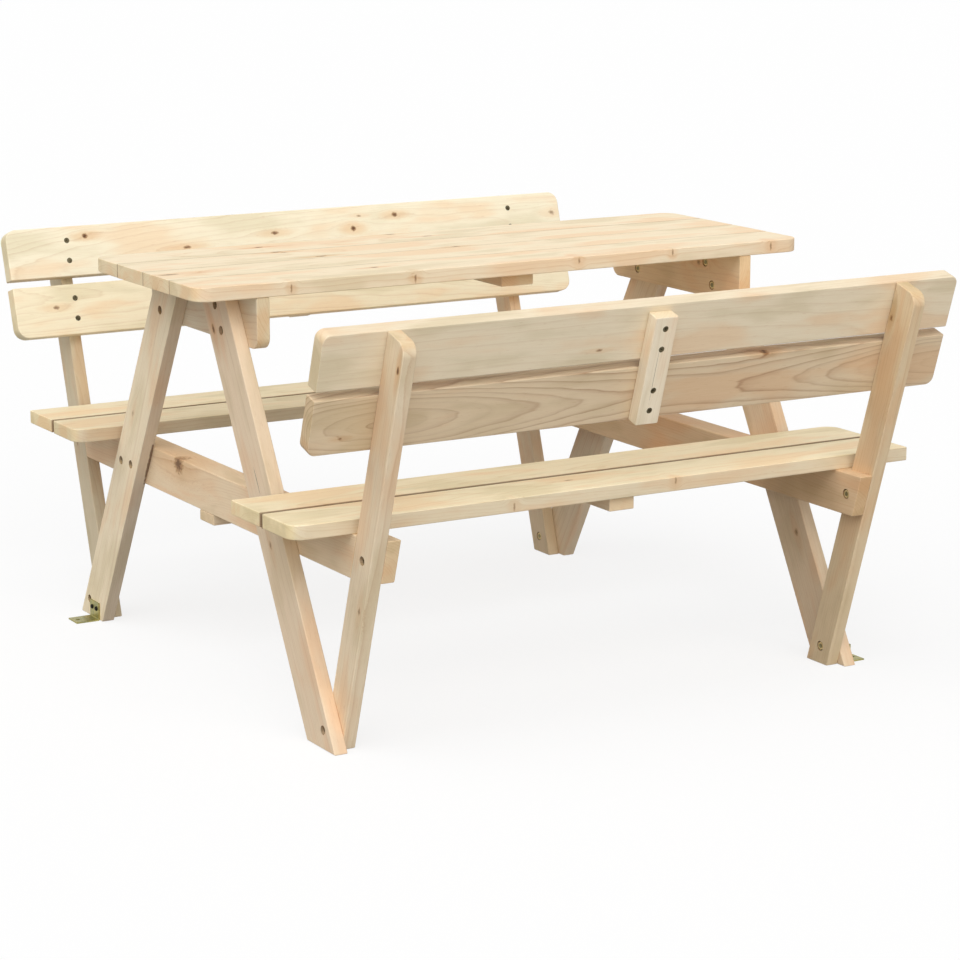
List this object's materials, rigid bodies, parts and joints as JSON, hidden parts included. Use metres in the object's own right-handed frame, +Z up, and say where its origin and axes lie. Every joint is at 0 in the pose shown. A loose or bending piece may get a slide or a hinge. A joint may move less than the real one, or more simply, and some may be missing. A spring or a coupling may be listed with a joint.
{
  "type": "kids picnic table",
  "caption": "Wooden children's picnic table with a bench and a slatted backrest on each long side, bolted to slanted legs, with angle plates to anchor its feet.",
  "frame": {"origin": "on the floor, under the middle of the table top", "axes": "+X along the table's length, +Y across it towards the far bench, +Z up"},
  "size_m": [0.9, 1.0584, 0.536],
  "materials": {
    "wood_top": "bare planed pine, growth rings and knots, eased edges",
    "wood_seat": "bare planed pine, growth rings and knots, eased edges",
    "wood_back": "bare planed pine, growth rings and knots, eased edges",
    "wood_frame": "bare planed pine, growth rings and knots, eased edges",
    "bolt_steel": "dull zinc, shaded in its counterbore",
    "nut_steel": "bright zinc plated",
    "screw_steel": "dark phosphated",
    "anchor_zinc": "yellow passivated zinc"
  },
  "bodies": {
    "root": {"table_board_1": "wood_top", "table_board_2": "wood_top", "table_board_3": "wood_top", "table_board_4": "wood_top", "table_crossbar_left": "wood_frame", "table_crossbar_right": "wood_frame", "table_batten": "wood_frame", "leg_near_left": "wood_frame", "leg_near_right": "wood_frame", "leg_far_left": "wood_frame", "leg_far_right": "wood_frame", "back_post_near_left": "wood_frame", "back_post_near_right": "wood_frame", "back_post_far_left": "wood_frame", "back_post_far_right": "wood_frame", "seat_bearer_left": "wood_frame", "seat_bearer_right": "wood_frame", "stretcher": "wood_frame", "seat_near_inner": "wood_seat", "seat_near_outer": "wood_seat", "seat_far_inner": "wood_seat", "seat_far_outer": "wood_seat", "seat_batten_near": "wood_frame", "seat_batten_far": "wood_frame", "backrest_near_lower": "wood_back", "backrest_near_upper": "wood_back", "backrest_far_lower": "wood_back", "backrest_far_upper": "wood_back", "backrest_cleat_near": "wood_back", "backrest_cleat_far": "wood_back", "ground_anchor_far_left": "anchor_zinc", "ground_anchor_near_right": "anchor_zinc", "leg_top_bolts": "bolt_steel", "bearer_bolts": "bolt_steel", "post_bolts": "bolt_steel", "foot_bolts": "bolt_steel", "bolt_washers": "nut_steel", "bolt_nuts": "nut_steel", "table_screws": "screw_steel", "seat_screws": "screw_steel", "batten_screws": "screw_steel", "stretcher_screws": "screw_steel", "backrest_screws": "screw_steel", "cleat_screws": "screw_steel", "anchor_screws": "screw_steel"}
  },
  "joints": []
}
